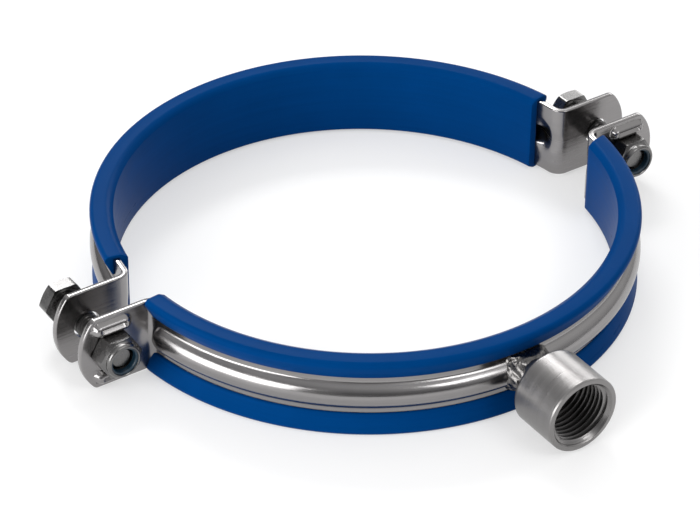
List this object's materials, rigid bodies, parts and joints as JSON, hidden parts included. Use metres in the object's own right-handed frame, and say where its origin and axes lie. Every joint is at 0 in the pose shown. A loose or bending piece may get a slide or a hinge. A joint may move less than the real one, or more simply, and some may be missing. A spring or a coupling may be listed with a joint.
{
  "type": "rubber lined pipe clamp",
  "caption": "Two-piece steel pipe clamp with rubber-lined half bands, bolted ears with captive lock nuts, and a welded threaded socket for hanging it from a rod.",
  "frame": {"origin": "centre of the pipe bore, midway across the band's width", "axes": "+Z along the pipe bore, -Y towards the threaded socket, +X towards the right pair of ears"},
  "size_m": [0.22, 0.2015, 0.027],
  "materials": {
    "band_steel": "bright pressed stainless strip, lightly brushed along its length",
    "lining_rubber": "smooth blue silicone rubber with a soft sheen",
    "socket_steel": "turned stainless bar with fine rings from the tool",
    "weld_steel": "rippled weld bead, cleaned",
    "bolt_steel": "plain stainless fastener",
    "nut_steel": "plain stainless fastener",
    "ring_nylon": "dark teal nylon"
  },
  "bodies": {
    "back_half": {"back_band": "band_steel", "back_lining": "lining_rubber"},
    "front_half": {"front_band": "band_steel", "front_lining": "lining_rubber", "socket": "socket_steel", "socket_weld": "weld_steel", "left_nut": "nut_steel", "right_nut": "nut_steel", "left_nut_ring": "ring_nylon", "right_nut_ring": "ring_nylon"},
    "right_bolt": {"right_bolt": "bolt_steel"},
    "left_bolt": {"left_bolt": "bolt_steel"}
  },
  "joints": [
    {"name": "clamp_close", "type": "slide", "parent": "back_half", "child": "front_half", "axis": [0, 1, 0], "range_m": [-0.0025, 0.0125]},
    {"name": "right_bolt_turn", "type": "hinge", "parent": "back_half", "child": "right_bolt", "pos_m": [0.099, 0, 0], "axis": [0, -1, 0], "range_deg": [-720, 3600]},
    {"name": "left_bolt_turn", "type": "hinge", "parent": "back_half", "child": "left_bolt", "pos_m": [-0.099, 0, 0], "axis": [0, -1, 0], "range_deg": [-720, 3600]}
  ],
  "couplings": [
    {"joint": "right_bolt_turn", "follows": "clamp_close", "rad_per_m": 5026.5},
    {"joint": "left_bolt_turn", "follows": "clamp_close", "rad_per_m": 5026.5}
  ]
}
